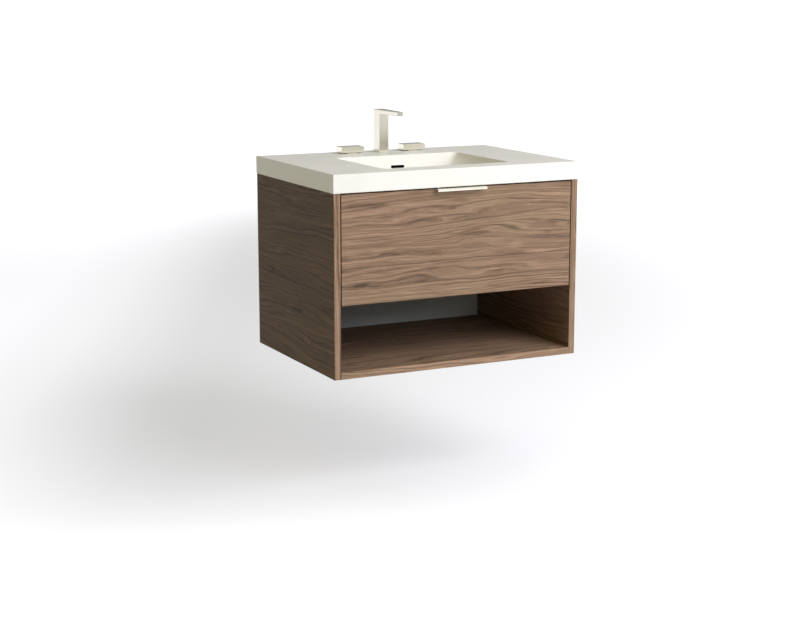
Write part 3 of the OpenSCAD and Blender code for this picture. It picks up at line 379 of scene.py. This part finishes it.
def overflow_duct(graph, place):
    """1 inside the overflow slot and its duct, where shade is painted."""
    axes = graph.axes(place)
    half = SLOT_W / 2 + DUCT_BESIDE
    fall = graph.math("SUBTRACT", DECK_Z, axes["Z"])
    lean = graph.math("MULTIPLY", fall, math.tan(END_SLOPE))
    wall_y = graph.math("SUBTRACT", BASIN_Y + BASIN_L / 2, lean)
    past_wall = graph.math("SUBTRACT", axes["Y"], wall_y)
    inside = within(graph, axes["X"], -half, half)
    inside = graph.math("MULTIPLY", inside, within(graph, past_wall, DUCT_STARTS, SLOT_DEPTH))
    return graph.math("MULTIPLY", inside, graph.math("GREATER_THAN", fall, SLOT_DROP))


def solid_surface():
    """A warm white casting: faint clouds, very fine grain and a soft satin polish. The overflow's
    duct is unpolished, and painted near-black as shade."""
    material, graph, shader = new_material("warm_white_casting", Specular_IOR_Level=0.5)
    place = object_place(graph)
    cloud = graph.noise(place, scale=9.0, detail=4.0)
    grain = graph.noise(place, scale=1400.0, detail=2.0)
    shade = graph.total((cloud, 0.7), (grain, 0.3))
    colour = graph.ramp(graph.spread(shade, 0.35, 0.65),
        (0.0, (0.828, 0.816, 0.786)), (1.0, (0.863, 0.853, 0.831)))
    # Painted shade: the overflow's slot and duct are near-black
    duct = overflow_duct(graph, place)
    graph.feed(shader.inputs["Base Color"], graph.mixed(duct, colour, rgb(*DUCT_SHADE_COLOUR)))
    polish = graph.spread(cloud, 0.3, 0.7, 0.30, 0.38)
    graph.feed(shader.inputs["Roughness"], graph.math("MAXIMUM", polish, duct))
    graph.feed(shader.inputs["Normal"], graph.bump(grain, 0.05, 0.05 * MM))
    return material


def paint(name, colour, roughness, across=None):
    """A thin matt coat with a fine orange-peel texture. Across gives two places along X and the
    coat's tones there: painted light and shade along X."""
    material, graph, shader = new_material(name, Specular_IOR_Level=0.3)
    place = object_place(graph)
    peel = graph.noise(place, scale=700.0, detail=2.0)
    cloud = graph.noise(place, scale=6.0, detail=3.0)
    light = graph.spread(cloud, 0.3, 0.7, 0.94, 1.06)
    # Painted light and shade along X
    if across:
        light = graph.math("MULTIPLY", light, graph.spread(graph.axes(place)["X"], *across))
    graph.feed(shader.inputs["Base Color"], graph.mixed(
        1.0, rgb(*colour), graph.vector(light, light, light), "MULTIPLY"))
    graph.feed(shader.inputs["Roughness"], graph.spread(peel, 0.3, 0.7, roughness, roughness + 0.1))
    graph.feed(shader.inputs["Normal"], graph.bump(peel, 0.12, 0.08 * MM))
    return material


def metal(name, colour, roughness, brushed=None, mottle=0.04, front_painted_shade=None):
    """Metal with fine lines along one axis where it is brushed, and faint uneven tone. Its front
    and back faces may be darker: painted shade."""
    material, graph, shader = new_material(name, Metallic=1.0)
    place = object_place(graph)
    if brushed:
        stretch = {axis: BRUSH_ACROSS for axis in "XYZ"}
        stretch[brushed] = BRUSH_ALONG
        lines = graph.noise(graph.scaled(place, tuple(stretch.values())), detail=3.0, roughness=0.6)
    else:
        lines = graph.noise(place, scale=900.0, detail=3.0)
    cloud = graph.noise(place, scale=35.0, detail=3.0)
    light = graph.total((graph.spread(cloud, 0.3, 0.7, 1.0 - mottle, 1.0), 0.7),
        (graph.spread(lines, 0.3, 0.7, 1.0 - mottle, 1.0), 0.3))
    # Painted shade: the faces that look along Y are darker
    if front_painted_shade:
        on_front = graph.math("GREATER_THAN", face_normal(graph)["Y"], 0.7)
        light = graph.math("MULTIPLY", light, graph.spread(on_front, 0.0, 1.0, 1.0, front_painted_shade))
    graph.feed(shader.inputs["Base Color"], graph.mixed(
        1.0, rgb(*colour), graph.vector(light, light, light), "MULTIPLY"))
    graph.feed(shader.inputs["Roughness"], graph.spread(
        lines, 0.3, 0.7, roughness - 0.05, roughness + 0.07))
    graph.feed(shader.inputs["Normal"], graph.bump(lines, 0.10, 0.03 * MM))
    return material


def plastic(name, colour, roughness):
    """Moulded plastic or rubber with a fine eroded texture."""
    material, graph, shader = new_material(name, Specular_IOR_Level=0.4)
    place = object_place(graph)
    grain = graph.noise(place, scale=1200.0, detail=3.0)
    light = graph.spread(grain, 0.3, 0.7, 0.9, 1.05)
    graph.feed(shader.inputs["Base Color"], graph.mixed(
        1.0, rgb(*colour), graph.vector(light, light, light), "MULTIPLY"))
    graph.feed(shader.inputs["Roughness"], graph.spread(
        grain, 0.3, 0.7, roughness, roughness + 0.12))
    graph.feed(shader.inputs["Normal"], graph.bump(grain, 0.1, 0.05 * MM))
    return material


# ---- pieces ----

def soften(piece, width, segments=2, angle=28, flat_within=0.5):
    """Rounds a piece's sharp edges by width, and shades its flat faces flat."""
    weld = piece.modifiers.new("weld", "WELD")
    weld.merge_threshold = 0.01 * MM
    flat = piece.modifiers.new("flat", "DECIMATE")
    flat.decimate_type = "DISSOLVE"
    flat.angle_limit = math.radians(flat_within)
    bevel = piece.modifiers.new("bevel", "BEVEL")
    bevel.limit_method = "ANGLE"
    bevel.angle_limit = math.radians(angle)
    bevel.width = width
    bevel.segments = segments
    bevel.use_clamp_overlap = False
    normals = piece.modifiers.new("normals", "WEIGHTED_NORMAL")
    normals.weight = 50


def finish(names, material, width=0.3 * MM):
    """Gives CAD nodes their material and soft edges."""
    for name in names:
        node = frame["nodes"][name]
        for slot in node.material_slots:
            slot.material = material
        soften(node, width)


def hull_piece(name, points):
    """The smallest convex piece round some points."""
    shape = bmesh.new()
    for point in points:
        shape.verts.new(point)
    hull = bmesh.ops.convex_hull(shape, input=shape.verts)
    left_out = hull["geom_interior"] + hull["geom_unused"]
    inside = {item for item in left_out if isinstance(item, bmesh.types.BMVert)}
    bmesh.ops.delete(shape, geom=list(inside), context="VERTS")
    mesh = bpy.data.meshes.new(name)
    shape.to_mesh(mesh)
    shape.free()
    return bpy.data.objects.new(name, mesh)


def rounded_ring(half_x, half_y, radius, z, steps):
    """Points round a rounded rectangle that is centred on the basin."""
    ring = []
    for quarter in range(4):
        sx = (1, -1, -1, 1)[quarter]
        sy = (1, 1, -1, -1)[quarter]
        for i in range(steps + 1):
            turn = math.pi / 2 * (quarter + i / steps)
            ring.append((
                sx * (half_x - radius) + radius * math.cos(turn),
                BASIN_Y + sy * (half_y - radius) + radius * math.sin(turn), z))
    return ring


def skim(depth=0.01 * MM, past_wall=100 * MM):
    """A slab that cuts everything level with the deck, a hair below it."""
    corners = [(x, y) for x in (-BASIN_W, BASIN_W) for y in (past_wall, BASIN_Y - BASIN_W)]
    levels = (DECK_Z - depth, CUTTER_TOP)
    return hull_piece("skim", [(x, y, z) for x, y in corners for z in levels])


def cove_centre():
    """How far a cove's centre is from the basin's, along X and Y."""
    fall = DECK_Z - COVE_Z
    return (BASIN_W / 2 - fall * math.tan(SIDE_SLOPE) - COVE_R / math.cos(SIDE_SLOPE),
        BASIN_L / 2 - fall * math.tan(END_SLOPE) - COVE_R / math.cos(END_SLOPE))


def basin_ring(out, radius, z, steps=ARC_STEPS):
    """Points round the basin's rim, moved out, with corners of a radius that moves with it."""
    return rounded_ring(BASIN_W / 2 + out, BASIN_L / 2 + out, radius + out, z, steps)


def basin_hollow(steps=ARC_STEPS):
    """The basin's hollow with true round coves."""
    cove_x, cove_y = cove_centre()
    cove = COVE_R + PAST_FACETS
    points = []
    for z in (DECK_Z, CUTTER_TOP):
        points += basin_ring(PAST_FACETS, CORNER_R, z)
    for sx in (-1, 1):
        for sy in (-1, 1):
            for i in range(steps + 1):
                for j in range(steps + 1):
                    turn = math.pi / 2 * i / steps
                    rise = math.radians(COVE_FROM + (COVE_TO - COVE_FROM) * j / steps)
                    out = cove * math.cos(rise)
                    points.append((
                        sx * (cove_x + out * math.cos(turn)),
                        BASIN_Y + sy * (cove_y + out * math.sin(turn)),
                        COVE_Z + cove * math.sin(rise)))
    sump = SUMP_R + PAST_FACETS
    points += rounded_ring(sump, sump, sump, SUMP_Z - PAST_FACETS, steps)
    return hull_piece("basin_hollow", points)


def rim_hollow():
    """The bevel round the basin's rim."""
    points = []
    for z, out in (
            (DECK_Z, RIM_BEVEL), (CUTTER_TOP, RIM_BEVEL), (DECK_Z - RIM_BEVEL, -RIM_BEVEL / 2)):
        points += basin_ring(out + PAST_FACETS, CORNER_R, z)
    return hull_piece("rim_hollow", points)


def rim_fill(grow=1.5 * MM, depth=8 * MM):
    """A solid across the basin's mouth, for the hollows to leave a clean rim in. It stands
    proud of the deck until that is skimmed."""
    points = []
    for z in (DECK_Z - depth, RIM_FILL_TOP):
        points += basin_ring(grow, RIM_R, z, ARC_STEPS // 2)
    return hull_piece("rim_fill", points)


def corner_fills(grow=1 * MM, steps=8):
    """Solids in the basin's corners, for the hollow to leave a rounder corner in each."""
    cove_x, cove_y = cove_centre()
    corner_x = BASIN_W / 2 - RIM_R
    corner_y = BASIN_L / 2 - RIM_R
    rim = RIM_R + grow
    cove = COVE_R / math.cos(SIDE_SLOPE) + grow
    fills = []
    for sx in (-1, 1):
        for sy in (-1, 1):
            outline = [(cove_x, cove_y, COVE_Z)]
            for x, y in ((-CORNER_R, -CORNER_R), (-CORNER_R, rim), (rim, -CORNER_R)):
                outline.append((corner_x + x, corner_y + y, CORNER_FILL_TOP))
            for i in range(steps + 1):
                turn = math.pi / 2 * i / steps
                x, y = math.cos(turn), math.sin(turn)
                outline.append((corner_x + rim * x, corner_y + rim * y, CORNER_FILL_TOP))
                for degrees in COVE_FILL_AT:
                    down = math.radians(degrees)
                    out = cove * math.cos(down)
                    z = COVE_Z - cove * math.sin(down)
                    outline.append((cove_x + out * x, cove_y + out * y, z))
            points = [(sx * x, BASIN_Y + sy * y, z) for x, y, z in outline]
            fills.append(hull_piece("corner_fill", points))
    return fills


def settled(piece):
    """Turns a piece's modifiers into its mesh."""
    seen = piece.evaluated_get(bpy.context.evaluated_depsgraph_get())
    mesh = bpy.data.meshes.new_from_object(seen)
    piece.modifiers.clear()
    piece.data = mesh


def countertop(material):
    """The countertop with a smooth basin and rounded edges."""
    node = frame["nodes"]["countertop_basin"]
    piece = bpy.data.objects.new("cast_countertop", node.data.copy())
    bpy.context.scene.collection.objects.link(piece)
    weld = piece.modifiers.new("weld", "WELD")
    weld.merge_threshold = 0.01 * MM
    shapes = [(fill, "UNION") for fill in [*corner_fills(), rim_fill()]]
    shapes += [(shape, "DIFFERENCE") for shape in (skim(), basin_hollow(), rim_hollow())]
    for shape, operation in shapes:
        bpy.context.scene.collection.objects.link(shape)
        change = piece.modifiers.new("change", "BOOLEAN")
        change.operation = operation
        change.solver = "EXACT"
        change.object = shape
    settled(piece)
    for shape, _ in shapes:
        bpy.data.objects.remove(shape)
    piece.data.materials.clear()
    piece.data.materials.append(material)
    for face in piece.data.polygons:
        face.use_smooth = True
    soften(piece, 0.5 * MM, segments=3, angle=25, flat_within=0.05)
    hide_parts("countertop_basin")
    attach(piece, "cabinet")


# ---- stage ----

def ray_kinds(graph):
    """1 for the camera's rays, and 1 for the mirrored and refracted ones."""
    kinds = graph.tree.nodes.new("ShaderNodeLightPath").outputs
    mirrored = graph.math("MAXIMUM", kinds["Is Glossy Ray"], kinds["Is Transmission Ray"])
    return kinds["Is Camera Ray"], mirrored


def painted_floor_shade(graph, place):
    """How much the painted soft shade behind the object takes from the floor's white."""
    from_line = graph.add("ShaderNodeMapping", {
        "Vector": place, "Location": (*SHADE_AT, 0.0), "Rotation": (0.0, 0.0, -SHADE_TURN)},
        vector_type="TEXTURE")
    axes = graph.axes(from_line)
    across = graph.curve(graph.spread(axes["X"], *SHADE_ACROSS),
        (0.0, 0.0), (0.10, 0.07), (0.23, 0.26), (0.28, 0.28), (0.37, 0.245), (0.54, 0.18),
        (0.73, 0.12), (1.0, 0.0))
    front = graph.spread(axes["Y"], *SHADE_FRONT, smooth=True)
    back = graph.spread(axes["Y"], *SHADE_BACK, 1.0, 0.0, smooth=True)
    return graph.math("MULTIPLY", across, graph.math("MULTIPLY", front, back))


def floor():
    """A pale floor that shows white and keeps the object's shadow. Its own white is dimmer near the
    object and in a band behind it: painted shade.
    """
    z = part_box("bottom_panel")[0].z - FLOOR_DROP
    half = FLOOR_SIZE / 2
    mesh = bpy.data.meshes.new("floor")
    mesh.from_pydata([(-half, -half, z), (half, -half, z), (half, half, z), (-half, half, z)],
        [], [(0, 1, 2, 3)])
    plane = bpy.data.objects.new("floor", mesh)
    bpy.context.scene.collection.objects.link(plane)
    material = bpy.data.materials.new("pale_floor")
    material.use_nodes = True
    tree = material.node_tree
    tree.nodes.clear()
    graph = Graph(tree)
    place = object_place(graph)
    aside = graph.scaled(place, (1.0, 1.0, 0.0), (-FLOOR_MIDDLE[0], -FLOOR_MIDDLE[1], 0.0))
    away = graph.add("ShaderNodeVectorMath", {0: aside}, out="Value", operation="LENGTH")
    own_white = graph.spread(away, *FLOOR_FADE, FLOOR_GLOW_NEAR, FLOOR_GLOW_FAR, smooth=True)
    own_white = graph.math("SUBTRACT", own_white, painted_floor_shade(graph, place))
    ahead = graph.spread(graph.axes(place)["Y"], *FLOOR_AHEAD, FLOOR_AHEAD_GLOW, 1.0, smooth=True)
    seen = graph.math("MAXIMUM", *ray_kinds(graph))
    glow = graph.math("MULTIPLY", graph.math("MULTIPLY", own_white, ahead), seen)
    own = graph.add("ShaderNodeEmission", {"Color": rgb(*FLOOR_GLOW), "Strength": glow})
    lit = graph.add("ShaderNodeBsdfDiffuse", {"Color": rgb(*FLOOR_COLOUR)})
    both = graph.add("ShaderNodeAddShader", {0: own, 1: lit})
    graph.end("ShaderNodeOutputMaterial", both)
    mesh.materials.append(material)


def world():
    """White where the camera sees it, dimmer in mirrors, and a soft light for the object."""
    light = bpy.data.worlds.new("studio")
    light.use_nodes = True
    tree = light.node_tree
    tree.nodes.clear()
    graph = Graph(tree)
    toward = graph.axes(graph.add("ShaderNodeTexCoord", out="Generated"))
    rise = toward["Z"]
    for_camera, for_mirror = ray_kinds(graph)
    ambient = graph.spread(rise, 0.0, 0.9, AMBIENT_LOW, AMBIENT_HIGH)
    above = graph.curve(rise, (0.0, 0.0), (0.06, 1.0), (0.30, 1.0), (1.0, 0.5))
    dim = graph.spread(toward["Y"], -0.3, 0.3, MIRROR_DIM_FRONT, MIRROR_DIM_BACK)
    mirror = graph.math("SUBTRACT", 1.0, graph.math("MULTIPLY", above, dim))
    strength = graph.spread(for_mirror, 0.0, 1.0, ambient, mirror)
    strength = graph.spread(for_camera, 0.0, 1.0, strength, 1.0)
    leftward = graph.spread(toward["X"], -0.1, -0.6)
    warm = graph.math("MULTIPLY", leftward, graph.math("SUBTRACT", 1.0,
        graph.math("MAXIMUM", for_camera, for_mirror)))
    colour = graph.mixed(warm, rgb(1.0, 1.0, 1.0), rgb(*AMBIENT_LEFT))
    sky = graph.add("ShaderNodeBackground", {"Color": colour, "Strength": strength})
    graph.end("ShaderNodeOutputWorld", sky)
    bpy.context.scene.world = light


def key_light():
    """A soft rectangular lamp, which mirrors don't show."""
    data = bpy.data.lights.new("key", "AREA")
    data.shape = "RECTANGLE"
    data.size, data.size_y = KEY_SIZE
    data.energy = KEY_POWER
    lamp = bpy.data.objects.new("key", data)
    lamp.visible_glossy = False
    lamp.location = KEY_AT
    toward = Vector(KEY_TARGET) - Vector(KEY_AT)
    lamp.rotation_euler = toward.to_track_quat("-Z", "Y").to_euler()
    bpy.context.scene.collection.objects.link(lamp)


def camera():
    """The photograph's camera."""
    data = bpy.data.cameras.new("camera")
    data.sensor_width = CAMERA_SENSOR
    data.sensor_fit = "HORIZONTAL"
    data.lens = CAMERA_LENS
    view = bpy.data.objects.new("camera", data)
    view.location = CAMERA_AT
    view.rotation_euler = (math.radians(CAMERA_TILT), 0.0, math.radians(CAMERA_TURN))
    bpy.context.scene.collection.objects.link(view)
    bpy.context.scene.camera = view


# ---- the scene ----

camera()
world()
key_light()
floor()

# How wide the edges of boards and of metal pieces are rounded
BOARD_EDGE = 0.35 * MM
METAL_EDGE = 0.2 * MM

# The walnut pieces' face and edge tones are painted light and shade
finish(["left_side_panel"],
    walnut("walnut_left", "Y", "Z", 3.1, 0.46, ("Z", "X"), 0.96), BOARD_EDGE)
finish(["right_side_panel"],
    walnut("walnut_right", "Y", "Z", 7.7, 0.74, ("Z", "X"), 0.89), BOARD_EDGE)
finish(["bottom_panel"],
    walnut("walnut_shelf", "X", "Y", 12.4, 0.77, ("X", "Z"), 1.1), BOARD_EDGE)
finish(["divider_panel"], walnut("walnut_divider", "X", "Y", 21.9), BOARD_EDGE)
finish(["drawer_front"], walnut("walnut_front", "X", "Z", 5.6, 0.91), 0.25 * MM)
# The bay's back is painted darker to the left and lighter to the right, as shade
finish(["bay_back_panel"],
    paint("grey_paint", (0.70, 0.78, 0.85), 0.7, across=(-0.07, 0.36, 0.80, 1.14)))

finish(["drawer_side_left", "drawer_side_right", "notch_wall_left", "notch_wall_right"],
    birch("birch_side", "Y", "Z", 2.0, plies="X"))
finish(["drawer_box_front", "drawer_back_left", "drawer_back_right", "notch_wall_front"],
    birch("birch_cross", "X", "Z", 4.0, plies="Y"))
finish(["hanging_rail", "lower_rail", "front_stretcher"],
    birch("birch_rail", "X", "Z", 6.0, plies="Y"))
finish(["drawer_bottom"], birch("birch_panel", "X", "Y", 8.0))
finish(["dowels"], birch("beech", "X", "Z", 9.0), 0.5 * MM)

countertop(solid_surface())

# The nickel is one finish: these copies are brighter than the drain's, each by its own amount,
# which is painted light
finish(["hot_lever", "cold_lever", "valve_plates", "edge_pull", "spout_foot"],
    metal("nickel_along", (0.93, 0.90, 0.775), 0.24, brushed="X", mottle=0.02), METAL_EDGE)
# The spout's and its cap's front and back faces get painted shade
finish(["spout"],
    metal("nickel_spout", (0.83, 0.803, 0.69), 0.24, brushed="Z", mottle=0.02, front_painted_shade=0.87),
    METAL_EDGE)
finish(["outlet_cap"],
    metal("nickel_cap", (0.90, 0.88, 0.76), 0.24, brushed="X", mottle=0.02, front_painted_shade=0.62),
    METAL_EDGE)
finish(["drain_body", "stopper"], metal("nickel_drain", (0.80, 0.77, 0.65), 0.22), METAL_EDGE)
finish(["spout_shank", "spout_nut", "spout_tee", "hot_valve", "cold_valve", "valve_nuts",
    "hot_spindle", "cold_spindle", "drain_nut", "compression_nuts"],
    metal("brass", (0.74, 0.56, 0.27), 0.26, mottle=0.10), 0.25 * MM)
finish(["connector_tubes"],
    metal("copper", (0.80, 0.42, 0.26), 0.22, brushed="X", mottle=0.12), 0.1 * MM)
finish(["slide_cabinet_left", "slide_cabinet_right", "slide_middle_left", "slide_middle_right",
    "slide_drawer_left", "slide_drawer_right"],
    metal("zinc_steel", (0.62, 0.63, 0.65), 0.34, brushed="Y", mottle=0.08), METAL_EDGE)
finish(["slide_screws", "front_screws", "pull_screws", "hot_lever_screw", "cold_lever_screw"],
    metal("screw_steel", (0.60, 0.61, 0.62), 0.28, mottle=0.08), 0.1 * MM)
finish(["tailpiece"], metal("chrome_tube", (0.72, 0.73, 0.74), 0.10), 0.15 * MM)
finish(["slide_catches"], plastic("catch_plastic", (0.62, 0.24, 0.04), 0.40), 0.3 * MM)
finish(["aerator"], plastic("aerator_plastic", (0.06, 0.06, 0.06), 0.45), 0.1 * MM)
finish(["flange_seal", "drain_gasket"],
    plastic("black_rubber", (0.025, 0.025, 0.027), 0.60), 0.2 * MM)
finish(["front_bumpers"], plastic("clear_rubber", (0.62, 0.62, 0.60), 0.35), 0.4 * MM)

bpy.context.scene.view_settings.view_transform = "Standard"
